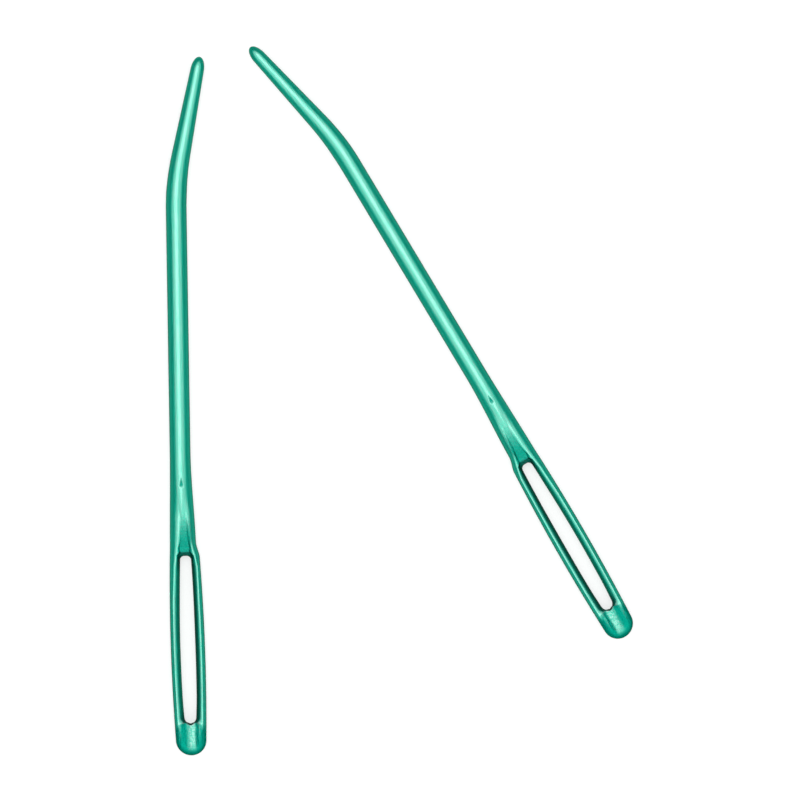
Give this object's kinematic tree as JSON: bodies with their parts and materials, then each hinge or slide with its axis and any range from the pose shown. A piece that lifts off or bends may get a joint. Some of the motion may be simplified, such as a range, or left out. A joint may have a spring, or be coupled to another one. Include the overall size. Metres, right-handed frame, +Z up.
{
  "type": "bent-tip yarn needle pair",
  "caption": "Green anodised aluminium yarn needles of round wire, each with a long flattened eye and a blunt tip bent to one side, for sewing up knitting and weaving in ends.",
  "frame": {"origin": "on the surface that the needles lie on, below the middle of the box around the pair", "axes": "+Z up from the surface; +Y from the eyes towards the tips, close to the left needle's shaft; +X from the left needle to the right one"},
  "size_m": [0.0584, 0.0886, 0.0026],
  "materials": {
    "green_anodised_wire": "satin, dyed green anodising over drawn wire, with a bright sheen"
  },
  "bodies": {
    "left_needle": {"left_eye": "green_anodised_wire", "left_shaft": "green_anodised_wire"},
    "right_needle": {"right_eye": "green_anodised_wire", "right_shaft": "green_anodised_wire"}
  },
  "joints": [
    {"name": "right_needle_lift", "type": "slide", "parent": "left_needle", "child": "right_needle", "axis": [0, 0, 1], "range_m": [0, 0.03]}
  ]
}
